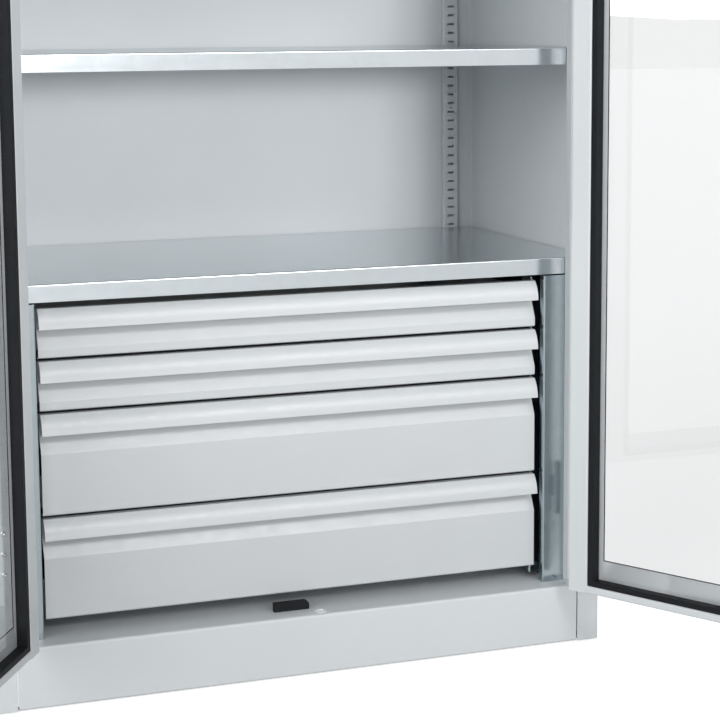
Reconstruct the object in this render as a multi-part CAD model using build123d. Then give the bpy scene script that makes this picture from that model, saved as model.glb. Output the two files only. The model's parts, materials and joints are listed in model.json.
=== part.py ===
from build123d import *
import math
import os

# Steel cupboard with two glazed doors, shelves on slotted rails and a four-drawer unit at the bottom.
# Millimetres, Z up, front towards -Y. Pieces are drawn with X from the middle, Z from the ground and
# Y measured back from the body's front plane, and move to the middle of the footprint when written.
# The doors are drawn shut and then swung open.

# Body
BODY_WIDTH = 930.0
BODY_DEPTH = 500.0
BODY_HEIGHT = 1950.0
SHEET = 1.2
BEND = 2.4
FLOOR_BEND = 4.0
SEAM = 0.3
OVERCUT = 1.0
FRAME_WIDTH = 36.5
REBATE_DEPTH = 30.0
STOP_FLANGE = 8.5
REAR_FLANGE = 11.4
FOOT_FLANGE = 30.0
FOOT_BEND = 2.0
FLOOR_HEIGHT = 91.5
FLOOR_SKIRT = 20.0
PLINTH_LIP = 15.0
PLINTH_GAP = 1.5
HEAD_LIP = 14.0
GLIDER_HEIGHT = 2.5
GLIDER_RADIUS = 8.0
GLIDER_STEM_RADIUS = 3.0
GLIDER_STEM = 9.0
GLIDER_INSET = 22.0
SCREW_HOLE_RADIUS = 2.75
SCREW_HOLE_INSET = 13.5

# Slotted rails
SLOT_PITCH = 15.0
SLOT_WIDTH = 10.4
SLOT_HEIGHT = 3.3
RAIL_SHEET = 1.5
REAR_RAIL_WIDTH = 28.0
REAR_RAIL_DEPTH = 7.8
REAR_RAIL_INSET = 43.4
FRONT_RAIL_STEP = 10.0
FRONT_RAIL_LEG = 19.2
RAIL_END_GAP = 20.0
MARK_HOLE_RADIUS = 1.5
MARKED_SLOTS = (13, 53, 93)

# Shelves
SHELF_SLOTS = (39, 60, 82, 104)
SHELF_ABOVE_SLOT = 10.0
SHELF_SKIRT = 25.0
SHELF_LIP = 12.0
SHELF_FRONT_SETBACK = 3.0
SHELF_REAR_GAP = 2.0
SHELF_SIDE_GAP = 1.5
NOTCH_GAP = 1.2
CLIP_SHEET = 2.0
CLIP_TONGUE = 15.0
CLIP_SIDE_GAP = 0.4
CLIP_SLOT_GAP = 0.35
CLIP_HOOK = 4.0

# Drawer unit
DRAWER_MODULES = (75.0, 75.0, 150.0, 150.0)
UNIT_BASE = 22.0
DRAWER_GAP = 4.5
POST_WIDTH = 39.2
POST_INSET = 4.3
POST_RETURN = 13.5
UNIT_DEPTH = 450.0
UNIT_REAR_FLANGE = 20.0
UNIT_FOOT = 24.0
UNIT_FOOT_INSET = 30.0
UNIT_TOP_GAP = 2.0
POST_HOLE_RADIUS = 1.75
POST_HOLE_RISE = 8.0
RELIEF_RADIUS = 2.0
RETURN_GAP = 1.5
BRACKET_WIDTH = 30.0
BRACKET_FOOT = 10.0
BRACKET_INSET = 4.0
BRACKET_END_GAP = 6.0

# Drawers and their runners
FRONT_SIDE_GAP = 6.3
FRONT_SETBACK = 50.0
NOSE_HEIGHT = 28.5
NOSE_REACH = 12.6
NOSE_BULGE = 2.2
NOSE_HEM = 5.0
GRIP_DEPTH = 14.0
GRIP_SLOPE = 28.7
FRONT_SHEET = 1.5
FRONT_BEND = 3.0
DRAWER_LENGTH = 400.0
DRAWER_SHEET = 1.0
DRAWER_RISE = 7.5
DRAWER_HEADROOM = 13.0
DRAWER_RIM = 5.0
RUNNER_WIDTH = 13.2
RUNNER_HEIGHT = 45.0
RUNNER_SHEET = 1.2
RUNNER_RISE = 25.0
RUNNER_PLAY = 0.3
CAGE_THICKNESS = 2.4
RUNNER_LIP = 9.6

# Doors
DOOR_GAP = 1.5
DOOR_MEETING_GAP = 2.0
DOOR_SILL_GAP = 2.5
DOOR_SETBACK = 6.0
DOOR_THICKNESS = 20.0
DOOR_BOX = 34.8
DOOR_RAIL = 12.3
DOOR_BEND = 3.0
DOOR_SEAM = 0.4
DOOR_SEAM_INSET = 31.0
WINDOW_SIDE = 52.0
WINDOW_END = 49.5
PANE_THICKNESS = 3.0
PANE_GAP = 1.0
PROFILE_WIDTH = 9.8
PROFILE_HEIGHT = 8.0
PROFILE_RECESS = 0.3
PROFILE_EDGE = 0.8
DOOR_ANGLE = 120.0
STRIP_SHEET = 1.5
STRIP_BACKING = 20.0
STRIP_REACH = 11.0
STRIP_JOGGLE = 1.0
STRIP_END_GAP = 6.0

# Hinges
HINGE_RADIUS = 6.5
HINGE_STANDOFF = 0.2
HINGE_LENGTH = 80.0
HINGE_KNUCKLE = 32.0
HINGE_LEAF = 2.0
HINGE_BODY_LEAF = 17.0
HINGE_DOOR_LEAF = 20.0
HINGE_END = 136.0
HINGES = 3
PIN_RADIUS = 4.0
PIN_PLAY = 0.05
PIN_CAP_RADIUS = 5.5
PIN_CAP = 2.5

# Door stops
STOP_WIDTH = 53.7
STOP_OFFSET = -19.65
STOP_DEPTH = 10.0
STOP_HEIGHT = 13.0
STOP_CORNER = 6.0
STOP_EDGE = 1.0
STOP_GRIP = 10.0

# Locking
ROD_INSET = 18.5
ROD_RADIUS = 4.0
ROD_TRAVEL = 14.0
ROD_PLAY = 0.1
ROD_HOLE_PLAY = 1.0
ROD_END_GAP = 0.5
GUIDE_WIDTH = 20.0
GUIDE_HEIGHT = 16.0
GUIDE_END_GAP = 20.0
SOCKET_RADIUS = 7.0
SOCKET_PLAY = 0.1
SOCKET_FLANGE = 1.5
SOCKET_RIM = 0.8
SOCKET_WALL = 0.8
SOCKET_DEPTH = 14.0
HANDLE_HEIGHT = 1020.0
HANDLE_PLATE_WIDTH = 30.0
HANDLE_PLATE_LENGTH = 150.0
HANDLE_PLATE = 6.0
BOSS_RADIUS = 13.0
BOSS_LENGTH = 14.0
SPINDLE_RADIUS = 5.0
SPINDLE_PLAY = 0.1
LEVER_LENGTH = 115.0
LEVER_WIDTH = 18.0
LEVER_TIP_WIDTH = 13.0
LEVER_THICKNESS = 9.0
LEVER_EDGE = 2.5
PLUG_RADIUS = 6.0
PLUG_LENGTH = 12.0
PLUG_PLAY = 0.1
PLUG_STANDOUT = 1.0
KEY_SLOT_WIDTH = 1.4
KEY_SLOT_LENGTH = 7.0
KEY_SLOT_DEPTH = 3.0
HANDLE_SCREW_RADIUS = 3.5
HANDLE_SCREW_HEAD = 1.6
HANDLE_SCREW_SHANK = 2.0
HANDLE_SCREW_INSET = 14.0
CAM_RADIUS = 13.0
CAM_SETBACK = 3.0
CAM_THICKNESS = 4.0
CAM_PIN_RADIUS = 2.0
CAM_PIN_PLAY = 0.35
YOKE_GAP = 0.5
YOKE_THICKNESS = 3.0
YOKE_WALL = 2.2
YOKE_INNER = 1.0
YOKE_TOP = 24.0
YOKE_HEAD = 8.0

# Planes that several pieces share
HALF_WIDTH = BODY_WIDTH / 2
WALL_FACE = HALF_WIDTH - SHEET
OPENING_SIDE = HALF_WIDTH - FRAME_WIDTH
OPENING_TOP = BODY_HEIGHT - FRAME_WIDTH
REBATE_BACK = REBATE_DEPTH + SHEET
BACK_FACE = BODY_DEPTH - SHEET
TOP_FACE = BODY_HEIGHT - SHEET

REAR_RAIL_FACE = BACK_FACE - REAR_RAIL_DEPTH
REAR_RAIL_X = HALF_WIDTH - REAR_RAIL_INSET
FRONT_RAIL_FACE = REBATE_BACK + FRONT_RAIL_STEP
FRONT_RAIL_INNER = OPENING_SIDE + SHEET
FRONT_RAIL_X = (FRONT_RAIL_INNER + WALL_FACE) / 2

SHELF_HALF = WALL_FACE - SHELF_SIDE_GAP
SHELF_FRONT = REBATE_DEPTH + SHELF_FRONT_SETBACK
SHELF_REAR = BACK_FACE - SHELF_REAR_GAP
FIRST_SHELF_TOP = SHELF_SLOTS[0] * SLOT_PITCH + SHELF_ABOVE_SLOT

POST_OUTER = OPENING_SIDE - POST_INSET
POST_INNER = POST_OUTER - POST_WIDTH
POST_FACE = REBATE_BACK + SEAM
UNIT_WALL_FACE = POST_OUTER - SHEET
UNIT_REAR = POST_FACE + UNIT_DEPTH
UNIT_TOP = FIRST_SHELF_TOP - SHELF_SKIRT - UNIT_TOP_GAP
FRONT_HALF = POST_INNER - FRONT_SIDE_GAP
RUNNER_FACE = FRONT_HALF - SEAM
DRAWER_HALF = RUNNER_FACE - RUNNER_WIDTH
DRAWER_START = FRONT_SETBACK + GRIP_DEPTH + FRONT_SHEET
DRAWER_END = DRAWER_START + DRAWER_LENGTH

DOOR_INNER_X = DOOR_MEETING_GAP / 2
DOOR_OUTER_X = OPENING_SIDE - DOOR_GAP
DOOR_BOTTOM = FLOOR_HEIGHT + DOOR_SILL_GAP
DOOR_TOP = OPENING_TOP - DOOR_SILL_GAP
DOOR_BACK = DOOR_SETBACK + DOOR_THICKNESS
DOOR_MIDDLE_X = (DOOR_INNER_X + DOOR_OUTER_X) / 2
DOOR_SKIN = DOOR_SETBACK + SHEET
PANE_BACK = DOOR_SKIN + PANE_THICKNESS

HINGE_X = DOOR_OUTER_X + DOOR_GAP + HINGE_STANDOFF
HINGE_Y = -HINGE_RADIUS - HINGE_STANDOFF
RIGHT_HINGE = Axis((HINGE_X, HINGE_Y, 0), (0, 0, 1))

ROD_X = DOOR_INNER_X + ROD_INSET
ROD_Y = DOOR_SETBACK + DOOR_THICKNESS / 2
CAM_FRONT = DOOR_SKIN + CAM_SETBACK
CAM_BACK = CAM_FRONT + CAM_THICKNESS
YOKE_FRONT = CAM_BACK + YOKE_GAP
CRANK = ROD_TRAVEL / math.sqrt(2)

LEFT = 1
RIGHT = -1


def block(x0, x1, y0, y1, z0, z1):
    """A box between two corners."""
    middle = Pos((x0 + x1) / 2, (y0 + y1) / 2, (z0 + z1) / 2)
    return middle * Box(x1 - x0, y1 - y0, z1 - z0)


def upright(x, y, z0, z1, radius):
    """A round bar standing up."""
    return Pos(x, y, (z0 + z1) / 2) * Cylinder(radius, z1 - z0)


def across(x, z, y0, y1, radius):
    """A round bar that runs from front to back."""
    return Pos(x, (y0 + y1) / 2, z) * Rot(90, 0, 0) * Cylinder(radius, y1 - y0)


def beside(points, distance):
    """The corners of the line that runs a distance to the left of another one."""
    normals = []
    for start, end in zip(points, points[1:]):
        length = math.dist(start, end)
        normals.append(((start[1] - end[1]) / length, (end[0] - start[0]) / length))
    befores = normals[:1] + normals
    afters = normals + normals[-1:]
    corners = []
    for point, before, after in zip(points, befores, afters):
        share = distance / (1 + before[0] * after[0] + before[1] * after[1])
        x = point[0] + share * (before[0] + after[0])
        y = point[1] + share * (before[1] + after[1])
        corners.append((x, y))
    return corners


def turns(points):
    """For each inner corner, 1 where the line turns left and -1 where it turns right."""
    signs = []
    for start, corner, end in zip(points, points[1:], points[2:]):
        before = (corner[0] - start[0], corner[1] - start[1])
        after = (end[0] - corner[0], end[1] - corner[1])
        signs.append(math.copysign(1, before[0] * after[1] - before[1] * after[0]))
    return signs


def sheet_face(points, thickness, bend, side):
    """The section of a folded sheet, from the line of one of its faces and the side it lies on."""
    other = beside(points, side * thickness)
    radii = [bend - side * turn * thickness for turn in turns(points)]
    with BuildSketch() as section:
        with BuildLine():
            face = FilletPolyline(*points, radius=bend)
            back = FilletPolyline(*other, radius=radii)
            Line(face @ 0, back @ 0)
            Line(face @ 1, back @ 1)
        make_face()
    return section.sketch


def upright_sheet(points, z0, z1, side, thickness=SHEET, bend=BEND):
    """A sheet folded in plan and running upwards."""
    return extrude(Pos(0, 0, z0) * sheet_face(points, thickness, bend, side), z1 - z0)


def level_sheet(points, x0, x1, side, thickness=SHEET, bend=BEND):
    """A sheet folded in side view and running across the cabinet."""
    section = Plane.YZ.offset(x0) * sheet_face(points, thickness, bend, side)
    return extrude(section, x1 - x0)


def mirrored(shape):
    return mirror(shape, about=Plane.YZ)


def save(name, *shapes):
    solids = [solid for shape in shapes for solid in shape.solids()]
    placed = Pos(0, -BODY_DEPTH / 2, 0) * Compound(solids)
    export_step(placed, f"parts/{name}.step")


def save_pair(name, shape):
    save(f"{name}_right", shape)
    save(f"{name}_left", mirrored(shape))


# Body panels

def side_panel():
    """The right side: rear flange, wall, frame, rebate and stop flange, with a flange under the foot."""
    rear_edge = HALF_WIDTH - REAR_FLANGE
    stop_edge = OPENING_SIDE - STOP_FLANGE
    section = (
        (rear_edge, BACK_FACE),
        (HALF_WIDTH, BACK_FACE),
        (HALF_WIDTH, 0),
        (OPENING_SIDE, 0),
        (OPENING_SIDE, REBATE_DEPTH),
        (stop_edge, REBATE_DEPTH),
    )
    panel = upright_sheet(section, GLIDER_HEIGHT, TOP_FACE, RIGHT)
    foot_edge = OPENING_SIDE + PLINTH_GAP
    panel -= block(stop_edge - SEAM, foot_edge, -SEAM, REBATE_BACK + SEAM, 0, FLOOR_HEIGHT + SEAM)
    panel -= block(stop_edge - SEAM, WALL_FACE, SHEET, REBATE_BACK + SEAM, 0, FLOOR_HEIGHT + SEAM)
    stop_back = REBATE_BACK + SEAM
    panel -= block(stop_edge - SEAM, OPENING_SIDE, 0, stop_back, OPENING_TOP - SEAM, BODY_HEIGHT)
    flange_edge = WALL_FACE - FOOT_FLANGE
    flange_top = GLIDER_HEIGHT + SHEET
    panel += block(flange_edge, WALL_FACE, SHEET, BACK_FACE - SHEET, GLIDER_HEIGHT, flange_top)
    for y in glider_rows():
        panel -= upright(HALF_WIDTH - GLIDER_INSET, y, 0, flange_top + SHEET, GLIDER_STEM_RADIUS + SEAM)
    return panel - foot_corner()


def foot_corner():
    """What is cut away to round the fold between the wall and the flange under it."""
    x = HALF_WIDTH - FOOT_BEND
    z = GLIDER_HEIGHT + FOOT_BEND
    corner = block(x, HALF_WIDTH + SEAM, -SEAM, BODY_DEPTH, 0, z)
    return corner - across(x, z, -2 * SEAM, BODY_DEPTH + SEAM, FOOT_BEND)


def glider_rows():
    return (GLIDER_INSET, BACK_FACE - GLIDER_INSET)


def back_panel():
    edge = WALL_FACE - SEAM
    return block(-edge, edge, BACK_FACE, BODY_DEPTH, GLIDER_HEIGHT, BODY_HEIGHT)


def top_panel():
    """The roof, its fascia over the doors and the head of the rebate in one folded sheet."""
    rear = BACK_FACE - SEAM
    section = (
        (REBATE_BACK, OPENING_TOP + HEAD_LIP),
        (REBATE_BACK, OPENING_TOP),
        (0, OPENING_TOP),
        (0, BODY_HEIGHT),
        (rear, BODY_HEIGHT),
        (rear, BODY_HEIGHT - FLOOR_SKIRT),
    )
    edge = OPENING_SIDE - SEAM
    panel = level_sheet(section, -edge, edge, RIGHT)
    for side in (-1, 1):
        inner, outer = sorted((side * (edge - SHEET), side * HALF_WIDTH))
        panel += block(inner, outer, BEND, rear - BEND, TOP_FACE, BODY_HEIGHT)
        corner, end = sorted((side * OPENING_SIDE, side * HALF_WIDTH))
        panel += block(corner, end, 0, BEND, TOP_FACE, BODY_HEIGHT)
        panel += block(corner, end, rear - BEND, rear, TOP_FACE, BODY_HEIGHT)
    panel -= upright(ROD_X, ROD_Y, OPENING_TOP - SHEET, OPENING_TOP + BEND, SOCKET_RADIUS)
    return panel


def floor_panel():
    """The floor and the plinth under the doors in one folded sheet."""
    rear = BACK_FACE - SEAM
    section = (
        (PLINTH_LIP, GLIDER_HEIGHT),
        (0, GLIDER_HEIGHT),
        (0, FLOOR_HEIGHT),
        (rear, FLOOR_HEIGHT),
        (rear, FLOOR_HEIGHT - FLOOR_SKIRT),
    )
    edge = OPENING_SIDE - SEAM
    panel = level_sheet(section, -edge, edge, RIGHT, bend=FLOOR_BEND)
    under = FLOOR_HEIGHT - SHEET
    start = REBATE_BACK + SEAM
    end = rear - FLOOR_BEND
    for side in (-1, 1):
        inner, outer = sorted((side * (edge - SHEET), side * (WALL_FACE - SEAM)))
        panel += block(inner, outer, start, end, under, FLOOR_HEIGHT)
        skirt_in, skirt_out = sorted((side * (WALL_FACE - SEAM - SHEET), side * (WALL_FACE - SEAM)))
        panel += block(skirt_in, skirt_out, start, end, FLOOR_HEIGHT - FLOOR_SKIRT, FLOOR_HEIGHT)
        hole_x = side * (OPENING_SIDE - SCREW_HOLE_INSET)
        panel -= upright(hole_x, ROD_Y, under - SHEET, FLOOR_HEIGHT + SHEET, SCREW_HOLE_RADIUS)
    panel -= upright(ROD_X, ROD_Y, under - SHEET, FLOOR_HEIGHT + SHEET, SOCKET_RADIUS)
    return panel


def glider(x, y):
    """A plastic glider under the foot flange, with the stem that holds it there."""
    sole = upright(x, y, 0, GLIDER_HEIGHT, GLIDER_RADIUS)
    sole = fillet(sole.edges().group_by(Axis.Z)[0], GLIDER_HEIGHT / 4)
    return sole + upright(x, y, GLIDER_HEIGHT / 2, GLIDER_STEM, GLIDER_STEM_RADIUS)


def gliders():
    x = HALF_WIDTH - GLIDER_INSET
    return [glider(side * x, y) for side in (-1, 1) for y in glider_rows()]


# Rails

def slot_heights():
    low = FLOOR_HEIGHT + RAIL_END_GAP
    high = OPENING_TOP - RAIL_END_GAP
    heights = [number * SLOT_PITCH for number in range(int(BODY_HEIGHT / SLOT_PITCH))]
    return [z for z in heights if low <= z <= high]


def slotted(rail, x, y0, y1):
    """The rail with its column of slots and the small holes that mark some of them."""
    slots = [
        block(x - SLOT_WIDTH / 2, x + SLOT_WIDTH / 2, y0, y1, z - SLOT_HEIGHT / 2, z + SLOT_HEIGHT / 2)
        for z in slot_heights()
    ]
    marks = [
        across(x, number * SLOT_PITCH + SLOT_PITCH / 2, y0, y1, MARK_HOLE_RADIUS)
        for number in MARKED_SLOTS
    ]
    return rail - slots - marks


def rear_rail():
    half = REAR_RAIL_WIDTH / 2
    section = (
        (REAR_RAIL_X - half, BACK_FACE),
        (REAR_RAIL_X - half, REAR_RAIL_FACE),
        (REAR_RAIL_X + half, REAR_RAIL_FACE),
        (REAR_RAIL_X + half, BACK_FACE),
    )
    rail = upright_sheet(section, FLOOR_HEIGHT, OPENING_TOP, LEFT, RAIL_SHEET)
    return slotted(rail, REAR_RAIL_X, REAR_RAIL_FACE - SEAM, REAR_RAIL_FACE + 2 * RAIL_SHEET)


def front_rail():
    start = FRONT_RAIL_FACE - FRONT_RAIL_LEG
    section = (
        (FRONT_RAIL_INNER, start),
        (FRONT_RAIL_INNER, FRONT_RAIL_FACE),
        (WALL_FACE, FRONT_RAIL_FACE),
        (WALL_FACE, start),
    )
    bottom = FLOOR_HEIGHT + SEAM
    rail = upright_sheet(section, bottom, OPENING_TOP, RIGHT, RAIL_SHEET)
    return slotted(rail, FRONT_RAIL_X, FRONT_RAIL_FACE - 2 * RAIL_SHEET, FRONT_RAIL_FACE + SEAM)


# Shelves

def shelf(top):
    """A sheet folded down on all sides and in again, notched round the rails."""
    bottom = top - SHELF_SKIRT
    tray = block(-SHELF_HALF, SHELF_HALF, SHELF_FRONT, SHELF_REAR, bottom, top)
    tray = fillet(tray.edges().group_by(Axis.Z)[-1], BEND)
    inner = SHELF_HALF - SHEET
    hollow = block(-inner, inner, SHELF_FRONT + SHEET, SHELF_REAR - SHEET, bottom + SHEET, top - SHEET)
    tray -= fillet(hollow.edges().group_by(Axis.Z)[-1], BEND - SHEET)
    lip = SHELF_HALF - SHELF_LIP
    lip_front = SHELF_FRONT + SHELF_LIP
    tray -= block(-lip, lip, lip_front, SHELF_REAR - SHELF_LIP, bottom - SHEET, bottom + 2 * SHEET)
    notch_top = top + SHEET
    notch_bottom = bottom - SHEET
    rail_half = REAR_RAIL_WIDTH / 2 + NOTCH_GAP
    for side in (-1, 1):
        near, far = sorted((side * (FRONT_RAIL_INNER - NOTCH_GAP), side * HALF_WIDTH))
        tray -= block(near, far, 0, FRONT_RAIL_FACE + NOTCH_GAP, notch_bottom, notch_top)
        rail_x = side * REAR_RAIL_X
        left = rail_x - rail_half
        right = rail_x + rail_half
        tray -= block(left, right, REAR_RAIL_FACE - NOTCH_GAP, BODY_DEPTH, notch_bottom, notch_top)
    return tray


def clip(x, face, outwards, slot):
    """A hook in a rail's slot, with a tongue under the shelf. outwards is 1 towards the back."""
    half = SLOT_WIDTH / 2 - CLIP_SIDE_GAP
    reach = SLOT_HEIGHT / 2 - CLIP_SLOT_GAP
    tongue_top = slot + SHELF_ABOVE_SLOT - SHEET
    near, far = sorted((face, face + outwards * CLIP_TONGUE))
    piece = block(x - half, x + half, near, far, tongue_top - CLIP_SHEET, tongue_top)
    near, far = sorted((face, face + outwards * CLIP_SHEET))
    piece += block(x - half, x + half, near, far, slot - reach, tongue_top)
    near, far = sorted((face - outwards * CLIP_HOOK, face + outwards * CLIP_SHEET))
    return piece + block(x - half, x + half, near, far, slot - reach, slot + reach)


def clips():
    pieces = []
    for number in SHELF_SLOTS:
        slot = number * SLOT_PITCH
        for side in (-1, 1):
            pieces.append(clip(side * REAR_RAIL_X, REAR_RAIL_FACE, -1, slot))
            pieces.append(clip(side * FRONT_RAIL_X, FRONT_RAIL_FACE, 1, slot))
    return pieces


# Drawer unit

def unit_side():
    """The unit's right side: a post beside the drawers, a wall behind it and a flange on the floor."""
    section = (
        (POST_INNER, POST_FACE + POST_RETURN),
        (POST_INNER, POST_FACE),
        (POST_OUTER, POST_FACE),
        (POST_OUTER, UNIT_REAR),
        (POST_OUTER - UNIT_REAR_FLANGE, UNIT_REAR),
    )
    wall = upright_sheet(section, FLOOR_HEIGHT, UNIT_TOP, LEFT)
    foot_start = POST_FACE + UNIT_FOOT_INSET
    foot_end = UNIT_REAR - UNIT_FOOT_INSET
    foot_top = FLOOR_HEIGHT + SHEET
    wall += block(UNIT_WALL_FACE - UNIT_FOOT, UNIT_WALL_FACE, foot_start, foot_end, FLOOR_HEIGHT, foot_top)
    return_start = POST_FACE + BEND
    return_edge = POST_INNER + SHEET + SEAM
    wall -= block(POST_INNER - SEAM, return_edge, return_start, foot_start, 0, FLOOR_HEIGHT + RETURN_GAP)
    middle = (POST_INNER + POST_OUTER) / 2
    face_back = POST_FACE + 2 * SHEET
    wall -= across(middle, FLOOR_HEIGHT + POST_HOLE_RISE, POST_FACE - SEAM, face_back, POST_HOLE_RADIUS)
    return wall - across(POST_INNER, UNIT_TOP, POST_FACE - SEAM, face_back, RELIEF_RADIUS)


def runner_bracket(start):
    """A hat section that holds the runners clear of the unit's wall."""
    end = start + BRACKET_WIDTH
    web = RUNNER_FACE + SHEET
    section = (
        (UNIT_WALL_FACE, end + BRACKET_FOOT),
        (UNIT_WALL_FACE, end),
        (web, end),
        (web, start),
        (UNIT_WALL_FACE, start),
        (UNIT_WALL_FACE, start - BRACKET_FOOT),
    )
    bottom = FLOOR_HEIGHT + BRACKET_END_GAP
    return upright_sheet(section, bottom, UNIT_TOP - BRACKET_END_GAP, RIGHT)


def runner_brackets():
    front = runner_bracket(DRAWER_START + BRACKET_INSET)
    rear = runner_bracket(DRAWER_END - BRACKET_INSET - BRACKET_WIDTH)
    return [front, rear, mirrored(front), mirrored(rear)]


def channel(x_web, x_tips, z, half_height, web, lip):
    """A runner member: a web beside the drawer's side with a lip above and below it."""
    near, far = sorted((x_web, x_tips))
    member = block(near, far, DRAWER_START, DRAWER_END, z - half_height, z + half_height)
    inner = half_height - lip
    hollow_near = near - web if x_web > x_tips else near + web
    hollow_far = far - web if x_web > x_tips else far + web
    return member - block(hollow_near, hollow_far, 0, BODY_DEPTH, z - inner, z + inner)


def runner_outer(z):
    tips = RUNNER_FACE - RUNNER_LIP
    return channel(RUNNER_FACE, tips, z, RUNNER_HEIGHT / 2, RUNNER_SHEET, RUNNER_SHEET)


def runner_mid(z):
    """The middle member, with the ball cages on its lips."""
    web = RUNNER_FACE - RUNNER_SHEET - RUNNER_PLAY
    tips = RUNNER_FACE - RUNNER_LIP
    half_height = RUNNER_HEIGHT / 2 - RUNNER_SHEET - RUNNER_PLAY
    return channel(web, tips, z, half_height, RUNNER_SHEET, CAGE_THICKNESS)


def runner_inner(z):
    """The member on the drawer's side, which runs between the middle member's cages."""
    tips = RUNNER_FACE - 2 * (RUNNER_SHEET + RUNNER_PLAY)
    half_height = RUNNER_HEIGHT / 2 - RUNNER_SHEET - CAGE_THICKNESS - 2 * RUNNER_PLAY
    return channel(DRAWER_HALF, tips, z, half_height, RUNNER_SHEET, RUNNER_SHEET)


def both_sides(shape):
    return [shape, mirrored(shape)]


def drawer_box(bottom, height):
    """A folded tray with a rim turned in along its top edge."""
    top = bottom + height
    tray = block(-DRAWER_HALF, DRAWER_HALF, DRAWER_START, DRAWER_END, bottom, top)
    inner = DRAWER_HALF - DRAWER_SHEET
    front = DRAWER_START + DRAWER_SHEET
    rear = DRAWER_END - DRAWER_SHEET
    tray -= block(-inner, inner, front, rear, bottom + DRAWER_SHEET, top - DRAWER_SHEET)
    rim = DRAWER_HALF - DRAWER_RIM
    rim_front = DRAWER_START + DRAWER_RIM
    rim_rear = DRAWER_END - DRAWER_RIM
    return tray - block(-rim, rim, rim_front, rim_rear, top - 2 * DRAWER_SHEET, top + OVERCUT)


def drawer_front(bottom, height):
    """One folded sheet: flat face, slope into the finger recess, its back, the top and the nose."""
    top = bottom + height
    back = FRONT_SETBACK + GRIP_DEPTH
    nose_foot = top - NOSE_HEIGHT
    nose_edge = FRONT_SETBACK - NOSE_REACH
    under = top - FRONT_SHEET
    section = (
        (back, bottom),
        (FRONT_SETBACK, bottom),
        (FRONT_SETBACK, nose_foot - GRIP_SLOPE),
        (back, nose_foot),
        (back, under),
        (FRONT_SETBACK, under),
    )
    front = level_sheet(section, -FRONT_HALF, FRONT_HALF, RIGHT, FRONT_SHEET, FRONT_BEND)
    middle = (
        (FRONT_SETBACK + nose_edge) / 2 - NOSE_BULGE,
        (top + nose_foot) / 2 + NOSE_BULGE,
    )
    outside = ((FRONT_SETBACK, top), middle, (nose_edge, nose_foot))
    inside = beside(outside, FRONT_SHEET)
    with BuildSketch() as nose:
        with BuildLine():
            skin = ThreePointArc(*outside)
            lining = ThreePointArc(*inside)
            Line(skin @ 0, lining @ 0)
            Line(skin @ 1, lining @ 1)
        make_face()
    front += extrude(Plane.YZ.offset(-FRONT_HALF) * nose.sketch, 2 * FRONT_HALF)
    hem_top = nose_foot + FRONT_SHEET
    hem_end = nose_edge + NOSE_HEM
    return front + block(-FRONT_HALF, FRONT_HALF, nose_edge + SEAM, hem_end, nose_foot, hem_top)


def drawers():
    """Each drawer's front bottom, front height and box height, from the top one down."""
    places = []
    level = FLOOR_HEIGHT + UNIT_BASE + sum(DRAWER_MODULES)
    for module in DRAWER_MODULES:
        level -= module
        height = module - DRAWER_GAP
        places.append((level, height, height - DRAWER_RISE - DRAWER_HEADROOM))
    return places


# Doors

def door_column():
    """The hollow column along the door's hinge edge."""
    edge = DOOR_OUTER_X - DOOR_BOX
    section = (
        (DOOR_OUTER_X - WINDOW_SIDE, DOOR_SETBACK),
        (DOOR_OUTER_X, DOOR_SETBACK),
        (DOOR_OUTER_X, DOOR_BACK),
        (edge, DOOR_BACK),
        (edge, DOOR_SKIN + SEAM),
    )
    column = upright_sheet(section, DOOR_BOTTOM, DOOR_TOP, LEFT, bend=DOOR_BEND)
    for z in (DOOR_BOTTOM, DOOR_TOP - SHEET):
        cap = block(edge, DOOR_OUTER_X, DOOR_SETBACK, DOOR_BACK, z, z + SHEET)
        column += fillet(cap.edges().filter_by(Axis.Z).group_by(Axis.X)[-1], DOOR_BEND)
    return column


def door_sill():
    """The shallow folded rail along the door's lower edge, between its two columns."""
    inner = DOOR_BOTTOM + DOOR_RAIL
    section = (
        (DOOR_SETBACK, DOOR_BOTTOM + WINDOW_END),
        (DOOR_SETBACK, DOOR_BOTTOM),
        (DOOR_BACK, DOOR_BOTTOM),
        (DOOR_BACK, inner),
        (DOOR_SKIN + SEAM, inner),
    )
    start = DOOR_INNER_X + DOOR_BOX - SHEET
    end = DOOR_OUTER_X - DOOR_BOX + SHEET
    rail = level_sheet(section, start, end, LEFT, bend=DOOR_BEND)
    skin_start = DOOR_INNER_X + DOOR_BOX
    skin_end = DOOR_OUTER_X - DOOR_BOX
    return rail + block(
        skin_start, skin_end, DOOR_SETBACK, DOOR_SKIN, DOOR_BOTTOM + DOOR_BEND, DOOR_BOTTOM + WINDOW_END
    )


def door_shell():
    """Two columns and two rails round the window, with the seams where their flanges meet."""
    middle = Plane.YZ.offset(DOOR_MIDDLE_X)
    level = Plane.XY.offset((DOOR_BOTTOM + DOOR_TOP) / 2)
    column = door_column()
    sill = door_sill()
    shell = column + mirror(column, about=middle) + sill + mirror(sill, about=level)
    seam = block(
        DOOR_OUTER_X - DOOR_SEAM_INSET - DOOR_SEAM,
        DOOR_OUTER_X - DOOR_SEAM_INSET,
        DOOR_BACK - DOOR_SEAM,
        DOOR_BACK + SEAM,
        DOOR_BOTTOM - SEAM,
        DOOR_BOTTOM + DOOR_RAIL,
    )
    seams = [seam, mirror(seam, about=middle)]
    seams += [mirror(cut, about=level) for cut in seams]
    return shell - seams


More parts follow.
